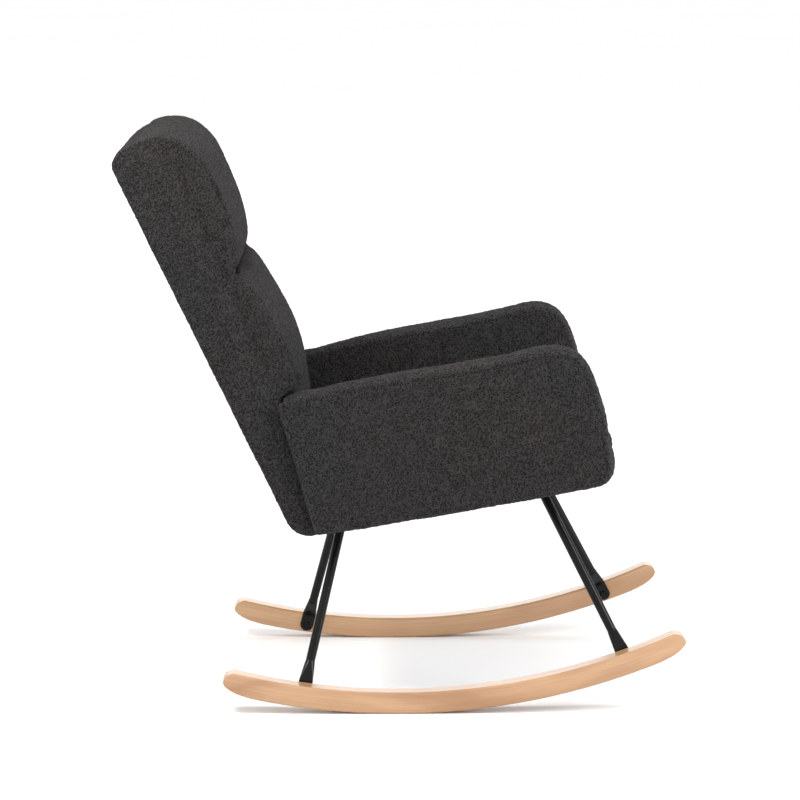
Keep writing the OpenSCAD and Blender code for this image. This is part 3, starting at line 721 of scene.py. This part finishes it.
def back_pad():
    """The lower cushion, narrower where it sits down between the arms."""
    outline = np.vstack([
        bezier((108, 446.5), (119, 420), (123, 360), (124.5, 300), n=44),
        bezier((124.5, 300), (124.5, 262), (112, 215), (96, 150), n=44),
        bezier((96, 150), (90, 134), (76, 128), (66, 132), n=12),
        line((66, 132), (84, 230), n=24),
        line((84, 230), (84, 444), n=44),
        line((84, 444), (108, 446.5), n=8),
    ])

    between_arms = 226 * MM

    def halves(t, s):
        half = between_arms + (BACK_HALF - RIM - between_arms) * eased(s, 0.224, 0.238)
        return -half, half

    piece = cushion_mesh("back_pad", BACK, outline, [(84, 160), (102, 260), (103, 400), (97, 425)],
                         halves, BACK_EDGE, lambda t, s: 9 * MM * eased(t, 0.09, 0.12),
                         5 * MM, 7 * MM)
    pull_at_seam(piece, 31)
    fleece(piece, 31)
    return dress(piece, "back_cushion", "back_foam", fill=0.8)


# ---- Seat ----
def seat_half(gap):
    """What lies on the seat fills the space between the arms, but for a gap at each."""
    def halves(u, w):
        half = arm_inner(u * -SEAT.forward[1]) - gap
        return -half, half
    return halves


def seat_cushion():
    """The seat's own cushion, with a sewn line around its top edge."""
    outline = np.vstack([
        line((-122, 33), (368, 33), n=60),
        bezier((368, 33), (383, 33), (390, 42), (390, 55), n=12),
        bezier((390, 55), (390, 78), (376, 94), (342, 94), n=20),
        line((342, 94), (-118, 86), n=60),
        line((-118, 86), (-122, 33), n=8),
    ])
    piece = cushion_mesh("seat_cushion", SEAT, outline, [(-85, 60), (335, 62)],
                         seat_half(SOFT_GAP + 1 * MM), (24 * MM, 18 * MM),
                         lambda u, w: 10 * MM * eased(w, 0.07, 0.085), 5.5 * MM, 9 * MM)
    points, out = points_of(piece), normals_of(piece)
    u, w, x = SEAT.read(points)
    seam = groove(np.abs(w - 74 * MM), 2 * MM, 2.6 * MM) * (1 - eased(np.abs(out @ SEAT.up), 0.6, 0.85))
    set_points(piece, points + out * seam[:, None])
    fleece(piece, 41)
    return dress(piece, "seat_cover", "seat_foam", fill=0.75)


def seat_border():
    """The padded strip under the cushion's front."""
    outline = np.vstack([
        line((358.6, 30), (358.6, 1), n=10),
        bezier((358.6, 1), (372, 0), (377, 6), (378, 15), n=12),
        line((378, 15), (377, 30), n=6),
        line((377, 30), (358.6, 30), n=6),
    ])
    piece = boxed("seat_front_border", SEAT, outline, [(367, 10), (367, 22)],
                  seat_half(SOFT_GAP + 1 * MM), 3 * MM, (7 * MM, 7 * MM))
    remesh(piece, 2.6 * MM)
    smooth(piece, 4)
    fleece(piece, 51)
    return dress(piece, "seat_border", fill=0.7)


def dust_sheet():
    """Black cloth stapled under the seat, cut out around the leg plates."""
    u0, u1, level, sag = -121 * MM, 351 * MM, 2.2 * MM, 1.2 * MM
    # Columns keep an even x as far out as the plates reach, and beyond it follow the seat's sides.
    straight, reach = 0.8, 262 * MM
    plates = []
    for name in nodes:
        if name.startswith("leg_plate"):
            u, w, x = SEAT.read(points_of(nodes[name]))
            plates.append((u.min() - MM, u.max() + MM, x.min() - MM, x.max() + MM))
    rows = np.concatenate([np.linspace(u0, u1, 80)] + [p[:2] for p in plates])
    rows = np.unique(np.round(rows, 5))
    columns = np.concatenate([np.linspace(-1, 1, 81)] + [np.array(p[2:]) / reach for p in plates])
    columns = np.unique(np.round(columns, 5))
    grid_u, grid_v = np.meshgrid(rows, columns, indexing="ij")
    half = arm_inner(grid_u * -SEAT.forward[1]) - 4 * MM
    edge = straight * reach
    beyond = (np.abs(grid_v) - straight) / (1 - straight)
    outer = np.sign(grid_v) * (edge + beyond * (half - edge))
    x = np.where(np.abs(grid_v) < straight, grid_v * reach, outer)
    hang = sag * np.sin(np.pi * (grid_u - u0) / (u1 - u0)) * (1 - grid_v ** 2)
    points = SEAT.place(grid_u, level - hang, x).reshape(-1, 3)
    wide = len(columns)
    faces = []
    for r in range(len(rows) - 1):
        for c in range(wide - 1):
            mid_u, mid_x = (rows[r] + rows[r + 1]) / 2, (x[r, c] + x[r, c + 1]) / 2
            if not any(p[0] < mid_u < p[1] and p[2] < mid_x < p[3] for p in plates):
                near, far = r * wide + c, (r + 1) * wide + c
                faces.append((near, near + 1, far + 1, far))
    piece = mesh_object("dust_cloth", points, faces)
    dress(piece, "dust_cover", slot="dust_cloth")


# ---- Stage ----
def stage():
    """A pale floor and an even white world."""
    far = 60
    corners = [(-far, -far, 0), (far, -far, 0), (far, far, 0), (-far, far, 0)]
    floor = mesh_object("floor", corners, [(0, 1, 2, 3)])
    m = Nodes("floor", 0.9)
    m.colour(m.mix(m.noise(0.6, 2), (0.92, 0.92, 0.92), (0.94, 0.94, 0.94)))
    floor.data.materials.append(m.material)
    world = bpy.data.worlds.new("studio")
    bpy.context.scene.world = world
    world.use_nodes = True
    world.node_tree.nodes["Background"].inputs["Color"].default_value = (1, 1, 1, 1)
    world.node_tree.nodes["Background"].inputs["Strength"].default_value = 0.62


def soft_light(name, place, aim, size, power):
    data = bpy.data.lights.new(name, "AREA")
    data.shape = "RECTANGLE"
    data.size, data.size_y = size
    data.energy = power
    lamp = bpy.data.objects.new(name, data)
    bpy.context.scene.collection.objects.link(lamp)
    lamp.location = place
    lamp.rotation_euler = (Vector(aim) - Vector(place)).to_track_quat("-Z", "Y").to_euler()
    return lamp


def lights():
    """A broad soft sky keeps the floor evenly white, and panels model the back and the legs."""
    sky = bpy.data.lights.new("sky", "SUN")
    sky.energy = 1.55
    sky.angle = math.radians(140)
    lamp = bpy.data.objects.new("sky", sky)
    bpy.context.scene.collection.objects.link(lamp)
    lamp.rotation_euler = (math.radians(-5), math.radians(-18), 0)
    key = soft_light("key", (-0.85, 0.9, 1.65), (-0.27, 0.28, 0.85), (0.3, 0.3), 15)
    key.data.color = (1.0, 0.95, 0.9)
    soft_light("front_key", (-1.3, -2.6, 2.1), (0, 0, 0.6), (1.2, 1.2), 62)
    soft_light("strip_front", (-1.6, -3.2, 0.9), (0, 0, 0.4), (0.06, 1.8), 16)
    soft_light("strip_rear", (-1.2, 3.2, 1.1), (0, 0, 0.5), (0.06, 1.8), 14)
    soft_light("backdrop", (12, 0, 3.6), (0, 0, 0.4), (14, 5), 420)
    bpy.context.scene.view_settings.view_transform = "Standard"


camera()
finish_cad_nodes()
arm("arm_left", 1, 1)
arm("arm_right", -1, 2)
back_cover()
head_pad()
back_pad()
seat_cushion()
seat_border()
dust_sheet()
stage()
lights()
